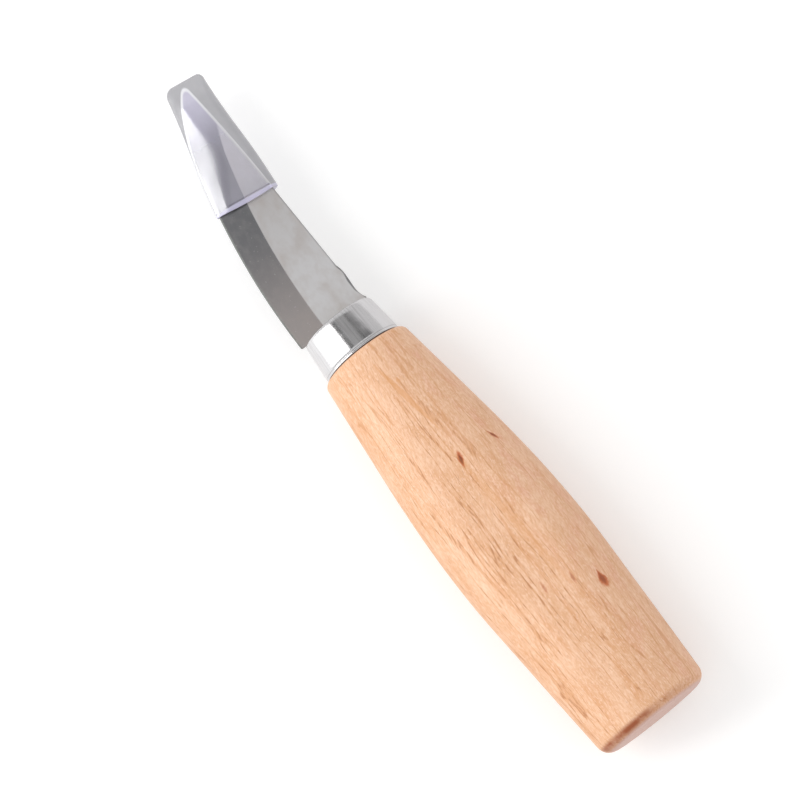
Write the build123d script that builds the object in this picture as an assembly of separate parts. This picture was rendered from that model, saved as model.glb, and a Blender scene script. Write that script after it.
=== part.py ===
from build123d import *
from math import asin, atan2, cos, degrees, hypot, radians, sin, sqrt, tan
import os

# A wood carving knife that lies on its side: a beech handle, a plated steel ferrule, a short
# forged blade glued in by its tang, and a clear sleeve pulled over the tip.
# Lengths are millimetres and angles degrees. +X runs to the tip, +Y to the cutting edge and
# +Z up out of the cheek. The origin lies under the middle of the knife, where it rests.

# Handle, a swelling oval whose two cheeks are planed flat to the width of the board it came from
handle_length = 95.4
handle_width = 29.9
oval_thickness = 26.0
handle_thickness = 23.6
butt_width = 26.1
butt_thickness = 21.6
neck_diameter = 20.7
butt_edge_radius = 2.7
neck_edge_radius = 0.9

# How far the outline has swelled on its way from the butt to the belly, and how far it has
# then drawn in from the belly to the neck, each at a share of the handle's length
swell_shares = ((0, 0), (0.24, 0.60), (0.46, 1))
draw_in_shares = ((0.58, 0.08), (0.70, 0.28), (0.82, 0.56), (1, 1))

# Ferrule, a tapered steel collar pressed on the handle's tenon
ferrule_length = 8.9
ferrule_rear_diameter = 18.6
ferrule_front_diameter = 16.9
ferrule_wall = 0.8
ferrule_lip_radius = 0.3
tenon_clearance = 0.05
tenon_setback = 1.5

# Blade. Its length runs to the sharp point where edge and spine meet, which is then rounded.
blade_thickness = 2.0
blade_length = 59.9
rim_gap = 0.4
crown_setback = 1.8
crown_height = 9.25
edge_radius = 157.7
edge_turn = 16.6
tip_sweep_radius = 47.2
spine_height = 7.2
spine_straight_length = 31.0
tip_round = 0.9
heel_round = 0.35

# Both faces are ground down to a thin land at the edge, first by a wide bevel, then a narrow one
bevel_width = 6.6
fine_bevel_width = 0.35
fine_bevel_angle = 12.0
edge_land = 0.06

# The spine's unground neck between the ferrule and the ground length
neck_flare = 0.75
neck_dip_at = 3.2
neck_dip = 0.08
neck_hump_at = 7.0
neck_hump = 0.36
neck_end_at = 9.1

# Tang, which runs down a hole in the handle and is glued there
tang_length = 62.0
tang_root_width = 8.0
tang_end_width = 6.0
tang_corner = 1.2
glue_gap = 0.35
glue_bed = 1.0
glue_sink = 0.3

# Tip guard, a flattened clear sleeve that is sealed at its far end. It is thickest over the
# blade's spine and drawn in to a thin nose over the cutting edge.
guard_tilt = -0.75
guard_length = 29.35
guard_overrun = 2.1
guard_wall = 0.35
guard_end_width = 8.8
guard_seal_thickness = 1.3
guard_nose_thickness = 0.5
guard_side_clearance = 0.1
guard_face_clearance = 0.4
guard_tip_clearance = 0.4
guard_mouth_bow = 0.45
guard_edge_corner = 2.0
guard_spine_corner = 1.3
guard_taper_power = 1.5

# One overrun serves every cut
overrun = 1.0

# Where the guard's sections stand along its length, after the one at its mouth and before the
# one at its sealed end. It follows the blade for the second share, and then narrows evenly.
guard_section_shares = (0.2, 0.4, 0.6, 0.8)
guard_follow_share = 0.4

# How far to the spine side its flat top reaches past its middle, at a share of the half width
guard_flat_share = 0.3


# Stations from the heel of the blade. The edge is two arcs that meet on one tangent.
edge_centre = Vector(-crown_setback, crown_height - edge_radius)
turn = Vector(sin(radians(edge_turn)), cos(radians(edge_turn)))
edge_joint = edge_centre + turn * edge_radius
sweep_centre = edge_joint - turn * tip_sweep_radius
tip_turn = degrees(asin((blade_length - sweep_centre.X) / tip_sweep_radius))
tip = sweep_centre + Vector(sin(radians(tip_turn)), cos(radians(tip_turn))) * tip_sweep_radius
point_angle = tip_turn + 2 * degrees(atan2(tip.Y + spine_height, tip.X - spine_straight_length))


def blade_outline():
    """The ground length of the blade, seen square to its side, with its heel at x = 0."""
    spine_y = -spine_height
    bottom = Vector(0, spine_y - neck_flare)
    dip = Vector(neck_dip_at, spine_y - neck_dip)
    hump = Vector(neck_hump_at, spine_y - neck_hump)
    neck_end = Vector(neck_end_at, spine_y)
    bend = Vector(spine_straight_length, spine_y)
    heel = Vector(0, edge_centre.Y + sqrt(edge_radius**2 - edge_centre.X**2))
    middle = Vector(sin(radians(edge_turn / 2)), cos(radians(edge_turn / 2)))
    half_way = radians((edge_turn + tip_turn) / 2)
    sweep_middle = sweep_centre + Vector(sin(half_way), cos(half_way)) * tip_sweep_radius
    edges = [
        Spline(bottom, dip, hump, neck_end),
        Line(neck_end, bend),
        TangentArc(bend, tip, tangent=(1, 0)),
        ThreePointArc(tip, sweep_middle, edge_joint),
        ThreePointArc(edge_joint, edge_centre + middle * edge_radius, heel),
        Line(heel, bottom),
    ]
    outline = make_face(edges)
    outline = fillet(outline.vertices().sort_by(Axis.X)[-1], tip_round)
    return fillet(outline.vertices().group_by(Axis.X)[0].sort_by(Axis.Y)[-1], heel_round)


blade_shape = blade_outline()


def blade_reaches(spot, direction):
    """How far the blade's outline lies from a spot on it, to the spine side and to the edge."""
    far = direction * blade_length
    cut = blade_shape & Line(spot - far, spot + far)
    reaches = sorted((end.center() - spot).dot(direction) for end in cut.vertices())
    return -reaches[0], reaches[-1]


# The guard points from the blade's middle, a guard's length behind the tip, to the tip. Its
# directions run along it, from the mouth to the sealed end, and across it to the edge side.
behind_tip = Vector(tip.X - guard_length, 0)
to_spine, to_edge = blade_reaches(behind_tip, Vector(0, 1))
middle_drop = (to_edge - to_spine) / 2 - tip.Y
guard_lean = atan2(middle_drop, guard_length) + radians(guard_tilt)
along = Vector(cos(guard_lean), -sin(guard_lean))
across = Vector(sin(guard_lean), cos(guard_lean))
rounded_tip = tip - along * (tip_round / sin(radians(point_angle / 2)) - tip_round)
guard_mouth = rounded_tip + along * (guard_overrun - guard_length)


def half_width_on_blade(share):
    """Half the guard's width at a share of its length, from the blade that it covers there."""
    inner_half = blade_thickness / 2 + guard_face_clearance
    corner_room = inner_half - sqrt(inner_half**2 - (blade_thickness / 2)**2)
    to_spine, to_edge = blade_reaches(guard_mouth + along * (share * guard_length), across)
    return max(to_edge, to_spine + corner_room) + guard_side_clearance + guard_wall


def guard_half_width(share):
    """Half the guard's width, which follows the blade first and narrows to its sealed end."""
    if share <= guard_follow_share:
        return half_width_on_blade(share)
    end_half = guard_end_width / 2
    left_share = (1 - share) / (1 - guard_follow_share)
    swell = half_width_on_blade(guard_follow_share) - end_half
    return end_half + swell * left_share**guard_taper_power


# The reach of the rounded far corner gives the knife's whole length
guard_end = guard_mouth + along * guard_length
guard_reach = (
    guard_end
    - along * guard_edge_corner
    + across * (guard_end_width / 2 - guard_edge_corner)
).X + guard_edge_corner
heel_from_butt = handle_length + ferrule_length + rim_gap
butt_x = -(heel_from_butt + guard_reach) / 2
shoulder_x = butt_x + handle_length
heel_x = butt_x + heel_from_butt
axis_height = handle_thickness / 2
ferrule_slope = (ferrule_rear_diameter - ferrule_front_diameter) / 2 / ferrule_length
tenon_length = ferrule_length - tenon_setback
hole_radius = hypot(tang_root_width, blade_thickness) / 2 + glue_gap
hole_end_x = heel_x - tang_length - glue_bed


def crosswise(x):
    """A plane across the knife, with its first direction to the edge and its second up."""
    return Plane(origin=(x, 0, 0), x_dir=(0, 1, 0), z_dir=(1, 0, 0))


def oval(x, width, thickness):
    """An oval section of the handle, in four quarters so that all sections match."""
    quarters = [
        EllipticalCenterArc((0, 0), width / 2, thickness / 2, start, arc_size=90)
        for start in (0, 90, 180, 270)
    ]
    return crosswise(x) * make_face(quarters)


def cone_at(x, diameter, length):
    """A round solid on the knife's axis that starts at x and tapers as the ferrule does."""
    far_radius = diameter / 2 - ferrule_slope * length
    upright = (Align.CENTER, Align.CENTER, Align.MIN)
    return crosswise(x) * Cone(diameter / 2, far_radius, length, align=upright)


def rod_at(x, radius, length):
    """A straight round solid on the knife's axis that starts at x."""
    upright = (Align.CENTER, Align.CENTER, Align.MIN)
    return crosswise(x) * Cylinder(radius, length, align=upright)


def handle():
    sections = []
    for place, rise in swell_shares:
        width = butt_width + rise * (handle_width - butt_width)
        thickness = butt_thickness + rise * (oval_thickness - butt_thickness)
        sections.append(oval(butt_x + place * handle_length, width, thickness))
    for place, fall in draw_in_shares:
        width = handle_width - fall * (handle_width - neck_diameter)
        thickness = oval_thickness - fall * (oval_thickness - neck_diameter)
        sections.append(oval(butt_x + place * handle_length, width, thickness))
    upright = (Align.CENTER, Align.CENTER, Align.MIN)
    board = Box(handle_width + 2 * overrun, handle_thickness, handle_length, align=upright)
    body = loft(sections) & crosswise(butt_x) * board
    body = fillet(body.faces().sort_by(Axis.X)[0].edges(), butt_edge_radius)
    body = fillet(body.faces().sort_by(Axis.X)[-1].edges(), neck_edge_radius)
    tenon_diameter = ferrule_rear_diameter - 2 * (ferrule_wall + tenon_clearance)
    body += cone_at(shoulder_x, tenon_diameter, tenon_length)
    hole_length = shoulder_x + tenon_length + overrun - hole_end_x
    return body - rod_at(hole_end_x, hole_radius, hole_length)


def ferrule():
    collar = cone_at(shoulder_x, ferrule_rear_diameter, ferrule_length)
    for end in (0, -1):
        face = collar.faces().filter_by(Axis.X).sort_by(Axis.X)[end]
        collar = fillet(face.edges(), ferrule_lip_radius)
    bore_diameter = ferrule_rear_diameter - 2 * ferrule_wall + 2 * overrun * ferrule_slope
    return collar - cone_at(shoulder_x - overrun, bore_diameter, ferrule_length + 2 * overrun)


def bevel_cutter(centre, radius, first_turn, last_turn):
    """What the grinder takes off the upper face beside one arc of the edge."""
    half_land = edge_land / 2
    fine_rise = half_land + fine_bevel_width * tan(radians(fine_bevel_angle))
    outward = Vector(sin(radians(last_turn)), cos(radians(last_turn)))
    plane = Plane(origin=centre, x_dir=outward, z_dir=(outward.Y, -outward.X, 0))
    section = make_face(
        Polyline(
            (radius - bevel_width, blade_thickness / 2),
            (radius - fine_bevel_width, fine_rise),
            (radius, half_land),
            (radius + overrun, half_land),
            (radius + overrun, blade_thickness / 2 + overrun),
            (radius - bevel_width, blade_thickness / 2 + overrun),
            close=True,
        )
    )
    axis = Axis((centre.X, centre.Y, 0), (0, 0, 1))
    return revolve(plane * section, axis=axis, revolution_arc=last_turn - first_turn)


def blade():
    ground = extrude(blade_shape, blade_thickness / 2, both=True)
    past_heel = degrees(asin((crown_setback - overrun) / edge_radius))
    past_joint = edge_turn + degrees(overrun / edge_radius)
    past_tip = tip_turn + degrees(bevel_width / tip_sweep_radius)
    upper = bevel_cutter(edge_centre, edge_radius, past_heel, past_joint)
    upper += bevel_cutter(sweep_centre, tip_sweep_radius, edge_turn, past_tip)
    ground -= upper
    ground -= mirror(upper, about=Plane.XY)
    root = tang_root_width / 2
    end = tang_end_width / 2
    tang = make_face(
        Polyline((0, -root), (0, root), (-tang_length, end), (-tang_length, -end), close=True)
    )
    tang = fillet(tang.vertices().group_by(Axis.X)[0], tang_corner)
    return Pos(heel_x, 0, 0) * (ground + extrude(tang, blade_thickness / 2, both=True))


def tang_adhesive(blade_part):
    tenon_x = shoulder_x + tenon_length
    fill = rod_at(hole_end_x, hole_radius, tenon_x - hole_end_x)
    mouth_diameter = ferrule_rear_diameter - 2 * (ferrule_wall + tenon_length * ferrule_slope)
    fill += cone_at(tenon_x, mouth_diameter, tenon_setback - glue_sink)
    return fill - blade_part


def guard_section(share, half_width, half_thickness, nose_half):
    """A section across the guard, thick on the spine side and thin at its nose on the edge side."""
    spot = guard_mouth + along * (share * guard_length)
    plane = Plane(origin=spot, x_dir=across, z_dir=along)
    back = half_thickness - half_width
    flat_end = -guard_flat_share * half_width
    droop = 2 * atan2(half_thickness - nose_half, half_width - nose_half - flat_end)
    nose = half_width - nose_half * tan((radians(90) - droop) / 2)
    outline = [
        ThreePointArc((back, -half_thickness), (-half_width, 0), (back, half_thickness)),
        Line((back, half_thickness), (flat_end, half_thickness)),
        TangentArc((flat_end, half_thickness), (nose, nose_half), tangent=(1, 0)),
        ThreePointArc((nose, nose_half), (half_width, 0), (nose, -nose_half)),
        TangentArc((flat_end, -half_thickness), (nose, -nose_half), tangent=(1, 0)),
        Line((flat_end, -half_thickness), (back, -half_thickness)),
    ]
    return plane * make_face(outline)


def far_corner(side, radius):
    """What is trimmed off a far corner of the guard to round it, in the guard's own plane."""
    half_width = guard_half_width(1 - radius / guard_length)
    centre_x = guard_length - radius
    centre_y = side * (half_width - radius)
    block = Rectangle(
        radius + overrun,
        radius + overrun,
        align=(Align.MIN, Align.MIN if side > 0 else Align.MAX),
    )
    return Pos(centre_x, centre_y) * (block - Circle(radius))


def tip_guard():
    inner_half = blade_thickness / 2 + guard_face_clearance
    inner_nose = guard_nose_thickness / 2
    seal_half = guard_seal_thickness / 2
    before_mouth = -(guard_mouth_bow + overrun) / guard_length
    outer = []
    inner = []
    for share in (before_mouth, *guard_section_shares):
        half_width = guard_half_width(share)
        outer.append(
            guard_section(share, half_width, inner_half + guard_wall, inner_nose + guard_wall)
        )
        inner.append(guard_section(share, half_width - guard_wall, inner_half, inner_nose))
    cavity_end = 1 - (guard_overrun - guard_tip_clearance) / guard_length
    cavity_half_width = guard_half_width(cavity_end) - guard_wall
    outer.append(guard_section(1, guard_half_width(1), seal_half, inner_nose + guard_wall))
    inner.append(guard_section(cavity_end, cavity_half_width, seal_half - guard_wall, inner_nose))
    mouth_half = guard_half_width(0)
    wide = mouth_half + overrun
    behind = -guard_length
    trims = make_face(
        [
            ThreePointArc((0, mouth_half), (-guard_mouth_bow, 0), (0, -mouth_half)),
            Polyline((0, -mouth_half), (0, -wide), (behind, -wide), (behind, wide)),
            Polyline((behind, wide), (0, wide), (0, mouth_half)),
        ]
    )
    trims += far_corner(1, guard_edge_corner)
    trims += far_corner(-1, guard_spine_corner)
    guard_plane = Plane(origin=guard_mouth, x_dir=along, z_dir=(0, 0, 1))
    trim = extrude(guard_plane * trims, inner_half + guard_wall + overrun, both=True)
    return loft(outer) - loft(inner) - trim


knife_blade = blade()
parts = {
    "handle": handle(),
    "ferrule": ferrule(),
    "blade": knife_blade,
    "tang_adhesive": tang_adhesive(knife_blade),
    "tip_guard": Pos(heel_x, 0, 0) * tip_guard(),
}

os.makedirs("parts", exist_ok=True)
for name, solid in parts.items():
    export_step(Pos(0, 0, axis_height) * solid, f"parts/{name}.step")
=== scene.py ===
# A wood carving knife that lies on its side on a pale table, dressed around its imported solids.
# Lengths are metres and angles radians. +X runs to the tip, +Y to the cutting edge and +Z up
# out of the cheek, as in the solids.
import math

import bpy
import numpy as np
from mathutils import Matrix, Vector


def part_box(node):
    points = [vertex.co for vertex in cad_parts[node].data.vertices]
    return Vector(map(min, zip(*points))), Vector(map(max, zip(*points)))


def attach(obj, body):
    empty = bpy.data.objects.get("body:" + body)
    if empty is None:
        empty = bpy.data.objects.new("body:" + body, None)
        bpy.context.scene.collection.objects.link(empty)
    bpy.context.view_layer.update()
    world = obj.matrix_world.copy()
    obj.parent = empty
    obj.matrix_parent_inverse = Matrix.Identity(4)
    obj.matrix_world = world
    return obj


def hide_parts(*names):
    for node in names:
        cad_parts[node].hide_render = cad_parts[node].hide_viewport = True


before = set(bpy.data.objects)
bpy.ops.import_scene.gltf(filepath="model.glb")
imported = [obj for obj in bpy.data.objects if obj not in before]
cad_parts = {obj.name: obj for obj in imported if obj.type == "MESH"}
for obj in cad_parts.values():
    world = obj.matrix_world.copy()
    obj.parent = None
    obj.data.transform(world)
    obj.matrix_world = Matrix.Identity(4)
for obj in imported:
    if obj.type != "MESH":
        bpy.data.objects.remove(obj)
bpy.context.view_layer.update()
mm = 0.001

# Camera
# It looks down on the knife and leans a little towards the butt, turned so that the blade
# points up to the left of the picture.
picture_side = 800
sensor_side = 36
camera_distance = 800 * mm
camera_lean = math.radians(10.3)
camera_roll = math.radians(51.05)
pixels_along = 4.875 / mm
handle_low, handle_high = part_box("handle")
axis_height = (handle_low.z + handle_high.z) / 2
aim = Vector((0.79 * mm, 0, axis_height))
back = Vector((-math.sin(camera_lean), 0, math.cos(camera_lean)))
forward_in_view = Vector((math.cos(camera_lean), 0, math.sin(camera_lean)))
edge_in_view = back.cross(forward_in_view)
right = -forward_in_view * math.cos(camera_roll) - edge_in_view * math.sin(camera_roll)
up = forward_in_view * math.sin(camera_roll) - edge_in_view * math.cos(camera_roll)
camera_data = bpy.data.cameras.new("camera")
camera_data.sensor_width = sensor_side
camera_data.lens = pixels_along * camera_distance / picture_side * sensor_side
camera_data.clip_start = 10 * mm
camera = bpy.data.objects.new("camera", camera_data)
camera.matrix_world = Matrix.Translation(aim + back * camera_distance) @ Matrix(
    (right, up, back)
).transposed().to_4x4()
bpy.context.scene.collection.objects.link(camera)
bpy.context.scene.camera = camera
bpy.context.scene.view_settings.view_transform = "Standard"

# Studio light
# An even pale room, a tall softbox beside the cutting edge, and a card overhead in strips from
# near black to mid grey. Bright metal shows them as a dark streak beside a grey patch.
room_light = 0.81
softbox_light = 4.2
softbox_width = 380 * mm
softbox_top = Vector((410 * mm, 400 * mm, 1070 * mm))
softbox_foot = Vector((410 * mm, 1250 * mm, 60 * mm))
card_height = 1150 * mm
card_start = 40 * mm
card_end = 720 * mm
# Each strip of the card: its name, its two sides in millimetres and how pale it is
card_strips = (
    ("black", 110, 430, 0.07), ("grey", -620, 110, 0.46), ("border", -720, -620, 0.02),
    ("pale", -1700, -720, 0.3),
)

world = bpy.data.worlds.new("room")
world.use_nodes = True
room = world.node_tree.nodes["Background"]
room.inputs["Color"].default_value = (room_light, room_light, room_light, 1)
bpy.context.scene.world = world

slope = softbox_top - softbox_foot
softbox = bpy.data.lights.new("softbox", "AREA")
softbox.shape = "RECTANGLE"
softbox.size = softbox_width
softbox.size_y = slope.length
softbox.energy = softbox_light * math.pi * softbox.size * softbox.size_y
softbox_object = bpy.data.objects.new("softbox", softbox)
sideways = Vector((-1, 0, 0))
away = sideways.cross(slope.normalized())
softbox_object.matrix_world = Matrix.Translation((softbox_top + softbox_foot) / 2) @ Matrix(
    (sideways, slope.normalized(), away)
).transposed().to_4x4()
softbox_object.visible_camera = False
bpy.context.scene.collection.objects.link(softbox_object)


class Wire:
    """One output of a node. Sums and products of wires and numbers become Math nodes."""

    def __init__(self, finish, socket):
        self.finish = finish
        self.socket = socket

    def math(self, operation, first, second=0.0):
        return self.finish.node("ShaderNodeMath", {"operation": operation}, {0: first, 1: second})

    def __add__(self, other):
        return self.math("ADD", self, other)

    def __radd__(self, other):
        return self.math("ADD", other, self)

    def __sub__(self, other):
        return self.math("SUBTRACT", self, other)

    def __rsub__(self, other):
        return self.math("SUBTRACT", other, self)

    def __mul__(self, other):
        return self.math("MULTIPLY", self, other)

    def __rmul__(self, other):
        return self.math("MULTIPLY", other, self)

    def __truediv__(self, other):
        return self.math("DIVIDE", self, other)

    def __pow__(self, other):
        return self.math("POWER", self, other)

    def __abs__(self):
        return self.math("ABSOLUTE", self)

    def ease(self, low, high):
        """0 below low, 1 above high, and a soft rise between them."""
        settings = {"interpolation_type": "SMOOTHSTEP"}
        return self.finish.node(
            "ShaderNodeMapRange", settings, {"Value": self, "From Min": low, "From Max": high}
        )


class Finish:
    """One material, and the one method that adds a node to it."""

    def __init__(self, name):
        self.material = bpy.data.materials.new(name)
        self.material.use_nodes = True
        self.nodes = self.material.node_tree.nodes
        self.links = self.material.node_tree.links
        self.nodes.clear()

    def node(self, kind, settings, sockets, output=0):
        made = self.nodes.new(kind)
        for name, value in settings.items():
            setattr(made, name, value)
        for socket, value in sockets.items():
            if isinstance(value, Wire):
                self.links.new(value.socket, made.inputs[socket])
            else:
                made.inputs[socket].default_value = value
        return Wire(self, made.outputs[output]) if len(made.outputs) else None

    def place(self):
        """The piece's own coordinates, as x, y and z."""
        spot = self.node("ShaderNodeTexCoord", {}, {}, "Object")
        return [self.node("ShaderNodeSeparateXYZ", {}, {0: spot}, axis) for axis in "XYZ"]

    def noise(self, x, y, z, detail=2.0, roughness=0.5):
        """Cloudy noise with lumps about as large as the sizes that x, y and z are divided by."""
        spot = self.node("ShaderNodeCombineXYZ", {}, {"X": x, "Y": y, "Z": z})
        sockets = {"Vector": spot, "Scale": 1.0, "Detail": detail, "Roughness": roughness}
        return self.node("ShaderNodeTexNoise", {}, sockets)

    def blend(self, share, first, second):
        """The first colour where share is 0 and the second where it is 1."""
        settings = {"data_type": "RGBA"}
        return self.node("ShaderNodeMix", settings, {0: share, 6: first, 7: second}, 2)

    def most(self, first, second):
        return self.node("ShaderNodeMath", {"operation": "MAXIMUM"}, {0: first, 1: second})

    def bump(self, height, depth):
        return self.node("ShaderNodeBump", {}, {"Height": height, "Distance": depth})

    def surface(self, sockets):
        return self.node("ShaderNodeBsdfPrincipled", {}, sockets)

    def wear(self, shader):
        """Makes the shader the material's surface."""
        self.node("ShaderNodeOutputMaterial", {}, {"Surface": shader})
        return self.material


def paint(red, green, blue):
    """A colour as it is read off a screen, as the shader wants it."""
    shares = np.array((red, green, blue)) / 255
    linear = np.where(shares <= 0.04045, shares / 12.92, ((shares + 0.055) / 1.055) ** 2.4)
    return (*linear.tolist(), 1)


sharp_corner = math.radians(35)


def mesh_piece(name, points, faces, material):
    """A smooth-shaded mesh object with sharp corners kept."""
    mesh = bpy.data.meshes.new(name)
    mesh.from_pydata([tuple(point) for point in points], [], faces)
    mesh.validate()
    mesh.shade_smooth()
    mesh.set_sharp_from_angle(angle=sharp_corner)
    mesh.materials.append(material)
    piece = bpy.data.objects.new(name, mesh)
    bpy.context.scene.collection.objects.link(piece)
    return piece


def flat_card(name, low, high, material):
    """A flat sheet of the studio, which isn't part of the knife."""
    corners = [(low.x, low.y, low.z), (high.x, low.y, low.z), (high.x, high.y, low.z)]
    corners.append((low.x, high.y, low.z))
    card = mesh_piece(name, corners, [(0, 1, 2, 3)], material)
    return card


for name, near_side, far_side, grey in card_strips:
    felt = Finish(name + " card")
    felt_surface = felt.surface({"Base Color": (grey, grey, grey, 1), "Roughness": 1.0})
    strip_low = Vector((card_start, near_side * mm, card_height))
    strip_high = Vector((card_end, far_side * mm, card_height))
    strip = flat_card(name + "_card", strip_low, strip_high, felt.wear(felt_surface))
    strip.visible_camera = False
    strip.visible_diffuse = False

# Table
# A large pale matt top. It shows a little brighter than it is lit to the eye and in gloss, so
# that it reads as white paper while it keeps the knife's shadow.
table_reach = 4
table_grey = 0.82
table_lift = 0.28
table = Finish("pale table")
light_kinds = [
    table.node("ShaderNodeLightPath", {}, {}, kind)
    for kind in ("Is Camera Ray", "Is Glossy Ray", "Is Transmission Ray")
]
seen = sum(light_kinds[1:], light_kinds[0])
seen = seen.math("MINIMUM", seen, 1.0)
matt = table.node(
    "ShaderNodeBsdfDiffuse", {}, {"Color": (table_grey, table_grey, table_grey, 1)}
)
glow = table.node("ShaderNodeEmission", {}, {"Strength": seen * table_lift})
table_shader = table.node("ShaderNodeAddShader", {}, {0: matt, 1: glow})
table_corner = Vector((table_reach, table_reach, 0))
flat_card("table", -table_corner, table_corner, table.wear(table_shader))

# Handle
# One piece of beech, shaped and sanded to a swelling oval with slightly flat cheeks, a turned
# tenon in front and a blind hole for the tang. It has a thin matt lacquer and a rubbed butt rim.
oval_thickness = 26.0 * mm
cheek_blend = 1.0 * mm
butt_width = 25.9 * mm
butt_thickness = 21.6 * mm
neck_diameter = 20.5 * mm
butt_rounding = 2.7 * mm
neck_rounding = 1.2 * mm
sanded_off = 0.2 * mm
# How far the outline has swelled from the butt to the belly, and then how far it has drawn in
# from the belly to the neck, each at a share of the wood's length
swell_shares = ((0, 0), (0.24, 0.60), (0.46, 1))
draw_in_shares = ((0.58, 0.08), (0.70, 0.28), (0.82, 0.56), (1, 1))
tenon_rear_radius = 8.45 * mm
tenon_front_radius = 7.74 * mm
ring_points = 120
body_rings = 64
rounding_rings = 10

ferrule_low, ferrule_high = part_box("ferrule")
glue_low, glue_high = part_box("tang_adhesive")
butt_x = handle_low.x
shoulder_x = ferrule_low.x
tenon_x = handle_high.x
hole_x = glue_low.x
hole_radius = (glue_high.y - glue_low.y) / 2
handle_length = shoulder_x - butt_x
belly_width = handle_high.y - handle_low.y - sanded_off
cheek_half = (handle_high.z - handle_low.z) / 2


def smooth_run(places, heights, at):
    """A smooth curve through heights at places, read at one or more places."""
    places = np.array(places, float)
    heights = np.array(heights, float)
    slopes = np.gradient(heights, places)
    left = np.clip(np.searchsorted(places, at, side="right") - 1, 0, len(places) - 2)
    span = places[left + 1] - places[left]
    t = (at - places[left]) / span
    rise = t * t * (3 - 2 * t)
    lean_in = t * (1 - t) ** 2 * slopes[left] * span
    lean_out = t * t * (1 - t) * slopes[left + 1] * span
    return heights[left] + rise * (heights[left + 1] - heights[left]) + lean_in - lean_out


def oval_halves(x):
    """Half the handle's width and thickness at x."""
    places = [place for place, _ in swell_shares + draw_in_shares]
    halves = []
    for butt, belly in ((butt_width, belly_width), (butt_thickness, oval_thickness)):
        sizes = [butt + rise * (belly - butt) for _, rise in swell_shares]
        sizes += [belly - fall * (belly - neck_diameter) for _, fall in draw_in_shares]
        halves.append(smooth_run(places, sizes, (x - butt_x) / handle_length) / 2)
    return halves


def oval_ring(x, half_width, half_thickness):
    """Points round an oval across the knife's axis, with its cheeks eased down to flats."""
    turns = np.linspace(0, math.tau, ring_points, endpoint=False)
    y = half_width * np.cos(turns)
    rise = half_thickness * np.abs(np.sin(turns))
    near = np.maximum(cheek_blend - np.abs(rise - cheek_half), 0)
    rise = np.minimum(rise, cheek_half) - near**2 / (4 * cheek_blend)
    z = axis_height + rise * np.sign(np.sin(turns))
    return np.stack([np.full(ring_points, x), y, z], axis=1)


def skin(rings, closed=False):
    """Faces over rings of points laid one after another. Open ends are capped."""
    count = len(rings[0])
    faces = []
    links = len(rings) if closed else len(rings) - 1
    for ring in range(links):
        here = ring * count
        there = (ring + 1) % len(rings) * count
        for spot in range(count):
            after = (spot + 1) % count
            faces.append((here + spot, here + after, there + after, there + spot))
    if not closed:
        faces.append(tuple(reversed(range(count))))
        faces.append(tuple(range((len(rings) - 1) * count, len(rings) * count)))
    return np.concatenate(rings), faces


handle_rings = []
for turn in np.linspace(0, math.pi / 2, rounding_rings):
    x = butt_x + butt_rounding * (1 - math.cos(turn))
    inset = butt_rounding * (1 - math.sin(turn))
    half_width, half_thickness = oval_halves(x)
    handle_rings.append(oval_ring(x, half_width - inset, half_thickness - inset))
body_start = butt_x + butt_rounding
body_end = shoulder_x - neck_rounding
for x in np.linspace(body_start, body_end, body_rings + 2)[1:-1]:
    handle_rings.append(oval_ring(x, *oval_halves(x)))
for turn in np.linspace(0, math.pi / 2, rounding_rings):
    x = body_end + neck_rounding * math.sin(turn)
    inset = neck_rounding * (1 - math.cos(turn))
    half_width, half_thickness = oval_halves(x)
    handle_rings.append(oval_ring(x, half_width - inset, half_thickness - inset))
for x, radius in (
    (shoulder_x, tenon_rear_radius),
    (tenon_x, tenon_front_radius),
    (tenon_x, hole_radius),
    (hole_x, hole_radius),
):
    handle_rings.append(oval_ring(x, radius, radius))

# Beech is a warm peach tan. Its short dark pores lie in rows along the growth layers, thickest
# under the cutting edge, and lean against the handle's axis near the neck.
wood_pale = paint(243, 198, 163)
wood_tan = paint(232, 183, 144)
wood_pink = paint(235, 179, 148)
wood_glint = paint(255, 216, 190)
wood_orange = paint(220, 156, 104)
pore_brown = paint(150, 80, 40)
line_brown = paint(214, 152, 100)
mark_rim = paint(198, 100, 50)
streak_orange = paint(222, 156, 96)
mark_core = paint(104, 36, 18)
burnish_brown = paint(160, 86, 50)
seam_brown = paint(96, 60, 46)
end_grain_and_shade = paint(219, 183, 173)
end_brown = paint(182, 132, 112)
grain_bend = 0.27 / (85 * mm)
grain_straight_x = -75 * mm

beech = Finish("beech")
x, y, z = beech.place()
from_straight = x - grain_straight_x
across_grain = y + from_straight * from_straight * (grain_bend / 2)
waver = (beech.noise(x / (11 * mm), y / (6 * mm), z / (6 * mm), 1.0) - 0.5) * (1.2 * mm)
layered = across_grain + waver
cloud = beech.noise(x / (9 * mm), y / (4 * mm), z / (4 * mm), 3.0)
blush = beech.noise(x / (7 * mm) + 7, y / (3 * mm), z / (3 * mm), 4.0, 0.6)
streak = beech.noise(x / (26 * mm), (y + x * 0.04) / (1.5 * mm), z / (1.7 * mm), 3.0, 0.55)
layer = beech.noise(x / (70 * mm), (y + waver) / (1.9 * mm), z / (2.6 * mm), 1.0)
dash = beech.noise(x / (2.5 * mm) + 5, layered / (0.38 * mm), z / (0.46 * mm), 1.0)
pore = beech.noise(x / (1.2 * mm), layered / (0.3 * mm), z / (0.34 * mm), 1.0)
fleck = beech.noise(x / (2.4 * mm) + 3, layered / (0.36 * mm), z / (0.42 * mm), 1.0)
fibre = beech.noise(x / (1.5 * mm), layered / (0.3 * mm), z / (0.3 * mm), 3.0, 0.7)
speck = beech.noise(x / (0.8 * mm), y / (0.34 * mm), z / (0.34 * mm), 2.0, 0.7)
row = 1 - abs(layer - 0.5).ease(0.004, 0.03)
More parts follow.
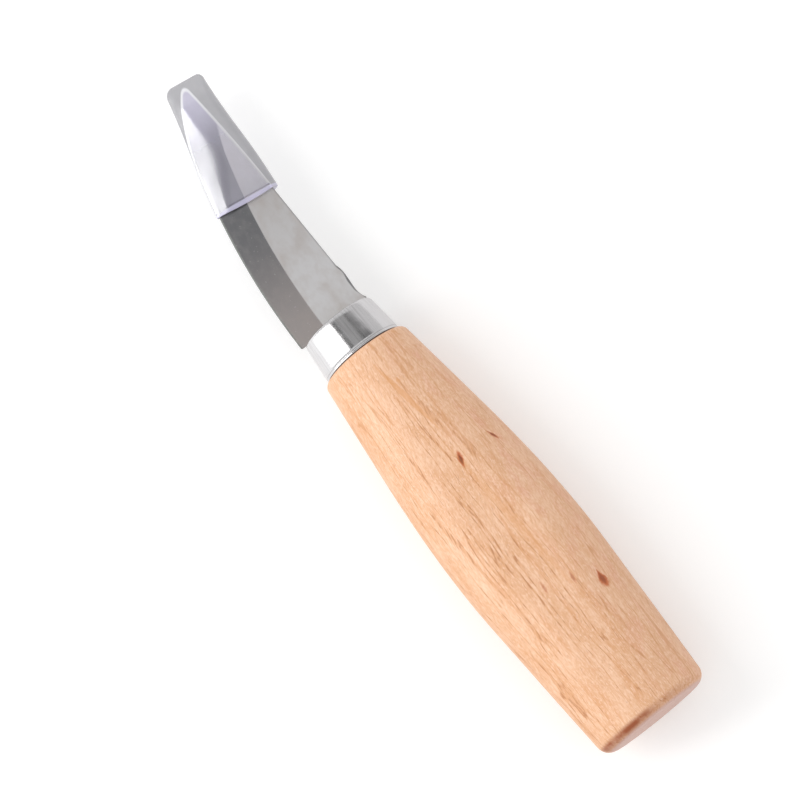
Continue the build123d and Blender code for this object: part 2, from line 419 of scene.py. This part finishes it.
porous = 0.25 + y.ease(-9 * mm, -1 * mm) * 0.75
pores = pore.ease(0.64, 0.74) * porous
flecks = fleck.ease(0.7, 0.76) * porous
rows = row * dash.ease(0.51, 0.6) * porous * (1 - x.ease(-14 * mm, 2 * mm) * 0.6)
wood = beech.blend(cloud.ease(0.35, 0.65), wood_tan, wood_pale)
wood = beech.blend(blush.ease(0.45, 0.7) * (1.1 - porous), wood, wood_pink)
wood = beech.blend(streak.ease(0.5, 0.7) * 0.42, wood, wood_orange)
wood = beech.blend(fibre.ease(0.4, 0.7) * 0.4, wood, line_brown)
wood = beech.blend(fibre.ease(0.5, 0.3) * 0.5, wood, wood_glint)
wood = beech.blend(speck.ease(0.5, 0.7) * 0.3, wood, wood_pink)
wood = beech.blend(speck.ease(0.48, 0.3) * 0.55, wood, wood_glint)
wood = beech.blend(row * 0.46 + rows * 0.2, wood, line_brown)
wood = beech.blend(pores * 0.2, wood, pore_brown)
wood = beech.blend(flecks * 0.24 + rows * 0.36, wood, pore_brown)

# Each mark is a small knot or stain: its place, its half length and half width, how far it
# leans, how much wider its butt end is, how dark it is and how dark its core is.
wood_marks = (
    (-18.7, -2.0, 2.1, 0.6, 14, -0.6, 1.0, 0.9),
    (-54.9, -9.1, 2.3, 0.85, 3, 0.85, 1.0, 0.55),
    (-18.2, -10.2, 1.6, 0.34, -21, 0.4, 0.8, 0.7),
    (-1.3, -1.4, 10.5, 0.65, -7, 0.0, 0.6, 0.0),
    (-36.0, -2.8, 22.0, 0.9, -3, 0.0, 0.3, 0.0),
    (2.2, -2.2, 0.8, 0.4, 10, 0.0, 0.6, 0.0),
    (-51.3, -4.6, 1.5, 0.4, 6, 0.2, 0.5, 0.3),
    (-49.3, 1.2, 1.8, 0.35, 4, 0.2, 0.45, 0.2),
)
upper_side = z.ease(axis_height, axis_height + 2 * mm)
for mark_x, mark_y, half_length, half_width, lean, taper, depth, core_depth in wood_marks:
    lean = math.radians(lean)
    out_x = x - mark_x * mm
    out_y = y - mark_y * mm
    along_mark = (out_x * math.cos(lean) - out_y * math.sin(lean)) / (half_length * mm)
    across_mark = (out_x * math.sin(lean) + out_y * math.cos(lean)) / (half_width * mm)
    across_mark = across_mark / beech.most(1 - along_mark * taper, 0.15)
    ragged = (beech.noise(x / (0.5 * mm), y / (0.3 * mm), z / (1 * mm)) - 0.5) * 0.5
    from_middle = abs(along_mark) ** 1.3 + abs(across_mark) ** 1.3 + ragged
    spread = (1 - from_middle.ease(0.6, 1.2)) * upper_side
    wood = beech.blend(spread * (depth * 0.85), wood, mark_rim if core_depth else streak_orange)
    if core_depth:
        core = (1 - from_middle.ease(0.2, 0.75)) * upper_side
        wood = beech.blend(core * (core_depth * 0.9), wood, mark_core)

# The butt's end grain is greyer, partly its own tone and partly painted shade, and its upper rim
# was burnished brown on the sanding belt. At the neck the last of the wood is dark where it was
# turned against the ferrule.
burnish_at = 1.15 * mm
burnish_reach = 1.3 * mm
seam_skew = 0.14 * mm
seam_setback = 0.36 * mm
seam_width = 0.16 * mm
at_end = 1 - x.ease(butt_x + 0.1 * mm, butt_x + 0.7 * mm)
end_pore = beech.noise(y / (0.3 * mm), z / (0.3 * mm), 4.0, 1.0).ease(0.56, 0.7)
end_grain_shaded_tone = beech.blend(end_pore * 0.22 + row * 0.22, end_grain_and_shade, end_brown)
wood = beech.blend(at_end * 0.85, wood, end_grain_shaded_tone)
rim_x = (x - (butt_x + burnish_at)) / burnish_reach
rim_patch = beech.noise(x / (3 * mm), y / (2.2 * mm), z / (4 * mm), 3.0)
rim_reach = (y.ease(-3 * mm, 3 * mm) * 0.7 + 0.3) * y.ease(-13 * mm, -6 * mm)
rim_reach = rim_reach * upper_side * (0.66 + rim_patch.ease(0.3, 0.6) * 0.34)
burnish = (1 - abs(rim_x).ease(0.1, 1.0)) * rim_reach
wood = beech.blend(burnish, wood, burnish_brown)
seam_start = y.ease(-7 * mm, 3 * mm) * seam_skew + (shoulder_x - seam_setback)
wood = beech.blend(x.ease(seam_start, seam_start + seam_width), wood, seam_brown)
beech_shader = beech.surface(
    {
        "Base Color": wood,
        "Roughness": 0.5 + pores * 0.12,
        "Specular IOR Level": 0.35,
        "Normal": beech.bump(fibre + speck * 0.8 - pores * 0.4 - rows * 0.4, 0.014 * mm),
    }
)
handle_points, handle_faces = skin(handle_rings)
handle = mesh_piece("beech_handle", handle_points, handle_faces, beech.wear(beech_shader))
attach(handle, "knife")
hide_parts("handle")

# Ferrule
# A short tapered collar of nickel-plated steel with a rolled bead at the wood and a turned-in
# front rim, pressed over the tenon so that the wood can't split round the tang.
ferrule_length = ferrule_high.x - ferrule_low.x
ferrule_rear_radius = 9.3 * mm
ferrule_front_radius = 8.45 * mm
ferrule_wall = 0.8 * mm
groove_at = 0.72 * mm
groove_reach = 0.14 * mm
# Places along the collar in millimetres from the wood, each with how far it lies under the cone
collar_outline = (
    (0.00, 0.42), (0.05, 0.20), (0.16, 0.09), (0.34, 0.04), (0.54, 0.06), (0.64, 0.13),
    (0.72, 0.15), (0.82, 0.12), (0.96, 0.05), (1.20, 0.02), (2.60, 0.00), (5.00, 0.00),
    (7.60, 0.00), (8.30, 0.02), (8.52, 0.06), (8.70, 0.12), (8.83, 0.22), (8.90, 0.40),
)


def lathe_ring(x, radius):
    return oval_ring(x, radius, radius)


collar_taper = (ferrule_rear_radius - ferrule_front_radius) / ferrule_length
collar_rings = []
for from_wood, under in collar_outline:
    cone_radius = ferrule_rear_radius - collar_taper * from_wood * mm
    collar_rings.append(lathe_ring(shoulder_x + from_wood * mm, cone_radius - under * mm))
for x, bore in (
    (ferrule_high.x, ferrule_front_radius - ferrule_wall),
    (shoulder_x, ferrule_rear_radius - ferrule_wall),
):
    collar_rings.append(lathe_ring(x, bore))

plated = Finish("plated steel")
x, y, z = plated.place()
nickel = paint(223, 222, 223)
dull_nickel_and_side_shade = paint(182, 179, 180)
scratch_and_groove_shade = paint(70, 66, 64)
around = plated.node("ShaderNodeMath", {"operation": "ARCTAN2"}, {0: y, 1: z - axis_height})
drawn = plated.noise(x / (14 * mm), around * 22, 0.0, 4.0, 0.6)
scratch = plated.noise(x / (5 * mm) + 4, around * 60, 0.0, 2.0)
dents = plated.noise(x / (1.4 * mm), around * 7, 0.0, 3.0)
# The groove behind the bead is painted darker, a painted shade in the recess. The scratches use
# the same dark colour.
groove_shade = 1 - abs((x - (shoulder_x + groove_at)) / groove_reach).ease(0.4, 1.3)
nickel_tone = plated.blend(drawn.ease(0.42, 0.72) * 0.6, nickel, dull_nickel_and_side_shade)
# On the spine side the nickel is painted darker, a painted shade that stands in for a dimmer
# reflection there.
nickel_tone = plated.blend(y.ease(3 * mm, -7 * mm) * 0.55, nickel_tone, dull_nickel_and_side_shade)
nickel_tone = plated.blend(scratch.ease(0.6, 0.72) * 0.25, nickel_tone, scratch_and_groove_shade)
plated_shader = plated.surface(
    {
        "Base Color": plated.blend(groove_shade * 0.25, nickel_tone, scratch_and_groove_shade),
        "Metallic": 1.0,
        "Roughness": 0.18 + dents.ease(0.4, 0.7) * 0.05 + drawn.ease(0.5, 0.7) * 0.04,
        "Normal": plated.bump(drawn * 0.3 + dents * 0.9, 0.012 * mm),
    }
)
collar_points, collar_faces = skin(collar_rings, closed=True)
collar = mesh_piece("steel_ferrule", collar_points, collar_faces, plated.wear(plated_shader))
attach(collar, "knife")
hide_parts("ferrule")

# Blade
# Ground from 2 mm carbon steel: satin flats, a wide bevel that runs down both faces to the
# curved edge with a narrow honed one along it, and a tang glued into the handle.
rim_gap = 0.4 * mm
crown_setback = 1.8 * mm
crown_height = 9.25 * mm
spine_straight = 31 * mm
spine_bend_radius = 418 * mm
neck_flare = 0.7 * mm
neck_flare_reach = 3 * mm
neck_hump = 0.36 * mm
neck_hump_at = 7 * mm
neck_hump_reach = 2.2 * mm
heel_x = shoulder_x + ferrule_length + rim_gap
edge_radius = 157.7 * mm
edge_turn = math.radians(16.6)
edge_centre = Vector((heel_x - crown_setback, crown_height - edge_radius))
sweep_radius = 47.2 * mm
edge_turned = Vector((math.sin(edge_turn), math.cos(edge_turn)))
edge_joint = edge_centre + edge_turned * edge_radius
sweep_centre = edge_joint - edge_turned * sweep_radius
bevel_width = 6.6 * mm
honed_width = 0.35 * mm
spine_y = -7.2 * mm

steel = Finish("blade steel")
x, y, z = steel.place()


def shader_reach(x, y, centre, radius):
    """How far a spot of the blade lies inside one arc of its edge."""
    return radius - ((x - centre.x) ** 2 + (y - centre.y) ** 2) ** 0.5


past_joint = x.math("GREATER_THAN", x, edge_joint.x)
reach = shader_reach(x, y, edge_centre, edge_radius) * (1 - past_joint)
reach = reach + shader_reach(x, y, sweep_centre, sweep_radius) * past_joint
on_bevel = 1 - reach.ease(bevel_width - 0.12 * mm, bevel_width + 0.12 * mm)
honed = 1 - reach.ease(honed_width - 0.08 * mm, honed_width + 0.08 * mm)
from_heel = x - heel_x
neck_rise = (1 - from_heel.ease(0, neck_flare_reach)) * neck_flare
hump_rise = (1 - abs(from_heel - neck_hump_at).ease(0, neck_hump_reach)) * neck_hump
neck_rise = neck_rise + hump_rise
past_bend = steel.most(from_heel - spine_straight, 0)
from_spine = y - spine_y + neck_rise - past_bend * past_bend / (2 * spine_bend_radius)
# A thin grey band along the spine is painted shade at its edge, stronger near the heel.
spine_edge_shade = 1 - from_spine.ease(0.08 * mm, 0.36 * mm)
flat_steel = paint(211, 210, 211)
guard_side_steel = paint(182, 179, 178)
under_guard_painted_light = paint(222, 220, 222)
bevel_steel_and_dark_reflection = paint(96, 96, 98)
heel_steel = paint(141, 135, 133)
mottle_steel = paint(124, 122, 122)
honed_steel = paint(92, 94, 92)
spine_shade_grey = paint(92, 92, 94)
stain_brown = paint(174, 160, 151)
mottle = steel.noise(x / (2.2 * mm), y / (1.6 * mm), z / (2 * mm), 4.0, 0.6)
grinding = steel.noise(x / (0.25 * mm), reach / (3 * mm), 0.0, 3.0)
stain = steel.noise(x / (6 * mm) + 2, y / (4 * mm), 0.0, 2.0)
# The bevel's colour is its ground steel painted much darker, a painted dark reflection, and
# lighter towards the heel.
bevel_tone = steel.blend(1 - from_heel.ease(-2 * mm, 28 * mm), bevel_steel_and_dark_reflection, heel_steel)
bevel_tone = steel.blend(mottle.ease(0.4, 0.75) * 0.3, bevel_tone, mottle_steel)
spots = steel.noise(x / (0.5 * mm), y / (0.5 * mm), 0.0, 1.0)
flat_tone = steel.blend(from_heel.ease(4 * mm, 34 * mm) * 0.6, flat_steel, guard_side_steel)
flat_tone = steel.blend(stain.ease(0.45, 0.75) * 0.3, flat_tone, stain_brown)
# Under the guard the flat is painted lighter, a painted light that makes up for the veil the guard
# lays over it.
flat_tone = steel.blend(from_heel.ease(29 * mm, 38 * mm) * 0.8, flat_tone, under_guard_painted_light)
metal = steel.blend(on_bevel, flat_tone, bevel_tone)
metal = steel.blend(honed, metal, honed_steel)
metal = steel.blend(spine_edge_shade * (0.75 - from_heel.ease(8 * mm, 11 * mm) * 0.4), metal, spine_shade_grey)
brown = mottle.ease(0.4, 0.7) * (0.14 - on_bevel * from_heel.ease(0, 20 * mm) * 0.13)
metal = steel.blend(brown, metal, stain_brown)
metal = steel.blend(spots.ease(0.68, 0.76) * 0.14, metal, flat_steel)
steel_shader = steel.surface(
    {
        "Base Color": metal,
        "Metallic": 1.0,
        "Roughness": 0.54 - on_bevel * 0.22 + mottle * 0.06 - honed * 0.05,
        "Normal": steel.bump(grinding * 0.6 + mottle * 0.4, 0.004 * mm),
    }
)
blade_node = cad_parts["blade"]
blade_node.data.materials.clear()
blade_node.data.materials.append(steel.wear(steel_shader))

# Adhesive
# Two-part glue that fills the tang's hole and stands a little below the ferrule's mouth. It
# only shows from the front, as a dull amber ring round the tang.
glue = Finish("adhesive")
x, y, z = glue.place()
glue_amber = paint(166, 146, 112)
glue_pale = paint(182, 164, 130)
lumps = glue.noise(x / (1.6 * mm), y / (1.6 * mm), z / (1.6 * mm), 3.0)
glue_shader = glue.surface(
    {
        "Base Color": glue.blend(lumps.ease(0.35, 0.65), glue_amber, glue_pale),
        "Roughness": 0.25 + lumps * 0.2,
        "Normal": glue.bump(lumps, 0.12 * mm),
    }
)
glue_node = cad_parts["tang_adhesive"]
glue_node.data.materials.clear()
glue_node.data.materials.append(glue.wear(glue_shader))

# Tip guard
# A clear sleeve of soft plastic, moulded to a flattened tube that is thick over the spine and
# thin over the edge, pinched shut at its far end and pushed over the tip.
guard_tilt = math.radians(10)
guard_length = 29.35 * mm
guard_overrun = 2.1 * mm
guard_wall = 0.35 * mm
guard_half_thickness = 1.75 * mm
guard_nose_half = 0.6 * mm
guard_seal_half = 0.65 * mm
guard_end_width = 8.8 * mm
guard_bow = 0.45 * mm
edge_corner = 2.0 * mm
spine_corner = 1.3 * mm
flat_share = 0.05
cavity_gap = 0.4 * mm
guard_cling = 0.3 * mm
tip_rounding = 1.9 * mm
blade_to_skin = 0.45 * mm
spine_corner_room = 0.41 * mm
follow_share = 0.4
taper_power = 1.5
width_ease = 0.1
bow_fade = 6 * mm
least_droop = 1.4
mouth_droop = 4
far_droop = 32
far_droop_from = 0.35
end_rounding = 0.5 * mm
thinnest_share = 0.12
guard_along = Vector((math.cos(guard_tilt), -math.sin(guard_tilt)))
guard_across = Vector((math.sin(guard_tilt), math.cos(guard_tilt)))
guard_mouth = Vector((53.45 * mm, -1.21 * mm))
guard_rings = 56
seal_share = 0.79


def covered_half(share):
    """Half the guard's width where it follows the blade, at a share of its length."""
    station = share * guard_length
    near = station < (edge_joint - guard_mouth).dot(guard_along)
    centre = edge_centre if near else sweep_centre
    radius = edge_radius if near else sweep_radius
    offset = guard_mouth - centre
    to_edge = math.sqrt(radius**2 - (offset.dot(guard_along) + station) ** 2)
    to_edge -= offset.dot(guard_across)
    on_axis = guard_mouth + guard_along * station
    to_spine = (on_axis.y - spine_y) / math.cos(guard_tilt) + spine_corner_room
    return max(to_edge, to_spine) + blade_to_skin


def tapered_half(share):
    """Half the guard's width, which narrows to its flat end once it has left the blade's belly."""
    if share <= follow_share:
        return covered_half(share)
    end_half = guard_end_width / 2
    left = (1 - share) / (1 - follow_share)
    return end_half + (covered_half(follow_share) - end_half) * left**taper_power


def guard_half_width(share):
    """The tapered half width with the corner where the taper starts eased away."""
    reach = min(width_ease, share, 1 - share)
    near_shares = share + reach * np.linspace(-1, 1, 9)
    return sum(tapered_half(near) for near in near_shares) / len(near_shares)


def corner_inset(from_end, radius):
    """How far a rounded far corner draws the outline in."""
    if from_end >= radius:
        return 0
    return radius - math.sqrt(max(radius**2 - (radius - from_end) ** 2, 0))


def guard_ring(station, inset, thinner):
    """A section of the guard, drawn in by inset all round and thinned to a share."""
    share = station / guard_length
    half_width = guard_half_width(share)
    from_end = guard_length - station
    edge_v = half_width - corner_inset(from_end, edge_corner) - inset
    spine_v = -half_width + corner_inset(from_end, spine_corner) + inset
    pinch = max(0, (share - seal_share) / (1 - seal_share))
    pinch = pinch * pinch * (3 - 2 * pinch)
    half_thickness = guard_half_thickness + (guard_seal_half - guard_half_thickness) * pinch
    half_thickness = (half_thickness - inset) * thinner
    nose_half = min((guard_nose_half - inset) * thinner, half_thickness)
    flat_end = (edge_v + spine_v) / 2 - flat_share * (edge_v - spine_v) / 2
    back = spine_v + half_thickness
    flat_end = max(flat_end, back)
    top = []
    for turn in np.linspace(0, math.pi / 2, 10):
        top.append((back - half_thickness * math.cos(turn), half_thickness * math.sin(turn)))
    for v in np.linspace(back, flat_end, 8)[1:]:
        top.append((v, half_thickness))
    nose_centre = edge_v - nose_half
    fall = half_thickness - nose_half
    droop = least_droop + mouth_droop * max(0, 1 - share / follow_share) ** 2
    droop += far_droop * max(0, share - far_droop_from) ** 3
    for step in np.linspace(0, 1, 18)[1:]:
        spot_v = flat_end + (nose_centre - flat_end) * step
        top.append((spot_v, half_thickness - fall * step**droop))
    for turn in np.linspace(0, math.pi / 2, 7)[1:]:
        top.append((nose_centre + nose_half * math.sin(turn), nose_half * math.cos(turn)))
    under = [(v, -w) for v, w in reversed(top[1:-1])]
    points = []
    for v, w in reversed(top + under):
        bow = guard_bow * (1 - (v / guard_half_width(0)) ** 2) * max(0, 1 - station / bow_fade)
        spot = guard_mouth + guard_along * (station - bow) + guard_across * v
        points.append((spot.x, spot.y, axis_height + w))
    return np.array(points)


cavity_end = guard_length - guard_overrun + cavity_gap
rim_rounding = 0.1 * mm
rings = []
for closing in np.linspace(thinnest_share, 1, 5):
    station = cavity_end - end_rounding * math.sqrt(1 - (1 - closing) ** 2)
    rings.append(guard_ring(station, guard_wall, closing))
for station in np.linspace(cavity_end - end_rounding - rim_rounding, rim_rounding, guard_rings):
    rings.append(guard_ring(station, guard_wall, 1))
rings.append(guard_ring(0, guard_wall - rim_rounding, 1))
inner_rings = len(rings)
rings.append(guard_ring(0, rim_rounding, 1))
for station in np.linspace(rim_rounding, guard_length - end_rounding, guard_rings):
    rings.append(guard_ring(station, 0, 1))
for closing in np.linspace(0, 1, 6)[1:]:
    station = guard_length - end_rounding * (1 - closing)
    rings.append(guard_ring(station, 0, max(thinnest_share, math.sqrt(1 - closing**2))))

# Over the blade the plastic is a thin lavender veil, and elsewhere a denser grey. The blade's
# outline is marked on the guard's own mesh, so it stays on the guard when that is pulled off.
plastic = Finish("clear plastic")
inside_blade = plastic.node(
    "ShaderNodeAttribute", {"attribute_name": "over_blade"}, {}, "Fac"
)
from_mouth = plastic.node("ShaderNodeAttribute", {"attribute_name": "from_mouth"}, {}, "Fac")
outer_skin = plastic.node("ShaderNodeAttribute", {"attribute_name": "outer_skin"}, {}, "Fac")
x, y, z = plastic.place()
haze = plastic.noise(x / (2.5 * mm), y / (2.5 * mm), z / (2.5 * mm), 3.0)
over = inside_blade.ease(-0.1, 0.1)
# At the mouth a denser lavender band is partly the rim's wall and partly a painted highlight, and
# just inside it lies a painted purple shade line.
rim = 1 - from_mouth.ease(0.5, 0.75)
rim_shade = (1 - abs(from_mouth - 0.9).ease(0.05, 0.25)) * over
# A pale line along the blade's spine is a painted highlight on the guard, lighter and denser than
# the veil.
spine_highlight_line = 1 - abs(inside_blade - 0.16).ease(0.03, 0.4)
veil = paint(236, 232, 255)
margin = paint(171, 170, 175)
spine_highlight_white = paint(244, 244, 248)
rim_light_lavender = paint(214, 210, 238)
shade_purple = paint(120, 112, 150)
veil_alpha = 0.23
margin_alpha = 0.6
tone = plastic.blend(over, margin, veil)
tone = plastic.blend(spine_highlight_line, tone, spine_highlight_white)
tone = plastic.blend(rim, tone, rim_light_lavender)
tone = plastic.blend(rim_shade, tone, shade_purple)
density = margin_alpha - over * (margin_alpha - veil_alpha) + haze.ease(0.4, 0.7) * 0.03
near_tip = from_mouth.ease(11, 25)
density = density + rim * over * 0.42 + rim_shade * 0.15
density = density + near_tip * over * 0.4 + spine_highlight_line * 0.24
plastic_body = plastic.surface({"Base Color": tone, "Roughness": 0.3, "IOR": 1.45})
gloss = plastic.node("ShaderNodeBsdfGlossy", {}, {"Roughness": 0.18})
see_through = plastic.node("ShaderNodeBsdfTransparent", {}, {})
body_mix = plastic.node(
    "ShaderNodeMixShader", {}, {0: density * outer_skin, 1: see_through, 2: plastic_body}
)
sheen = (0.02 + over * (0.21 - rim * 0.14 - from_mouth.ease(5, 17) * 0.09)) * outer_skin
plastic_shader = plastic.node("ShaderNodeMixShader", {}, {0: sheen, 1: body_mix, 2: gloss})
guard_points, guard_faces = skin(rings)
guard = mesh_piece("clear_tip_guard", guard_points, guard_faces, plastic.wear(plastic_shader))


def blade_reach(spot):
    """How far a spot lies inside the blade's outline, in millimetres, less than 0 outside it."""
    near = spot.x < edge_joint.x
    centre = edge_centre if near else sweep_centre
    radius = edge_radius if near else sweep_radius
    past_bend = max(0, spot.x - heel_x - spine_straight)
    spine = spine_y + past_bend**2 / (2 * spine_bend_radius)
    from_edge = radius - (spot.xy - centre).length + guard_cling
    from_spine = spot.y - spine
    short = Vector((max(tip_rounding - from_edge, 0), max(tip_rounding - from_spine, 0)))
    return min(from_edge, from_spine, tip_rounding - short.length) / mm


spots = [vertex.co for vertex in guard.data.vertices]
guard_facts = {
    "over_blade": [blade_reach(spot) for spot in spots],
    "from_mouth": [(spot.xy - guard_mouth).dot(guard_along) / mm + 0.1 for spot in spots],
    "outer_skin": [float(index >= inner_rings * len(rings[0])) for index in range(len(spots))],
}
for fact, values in guard_facts.items():
    guard.data.attributes.new(fact, "FLOAT", "POINT").data.foreach_set("value", values)
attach(guard, "guard")
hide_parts("tip_guard")
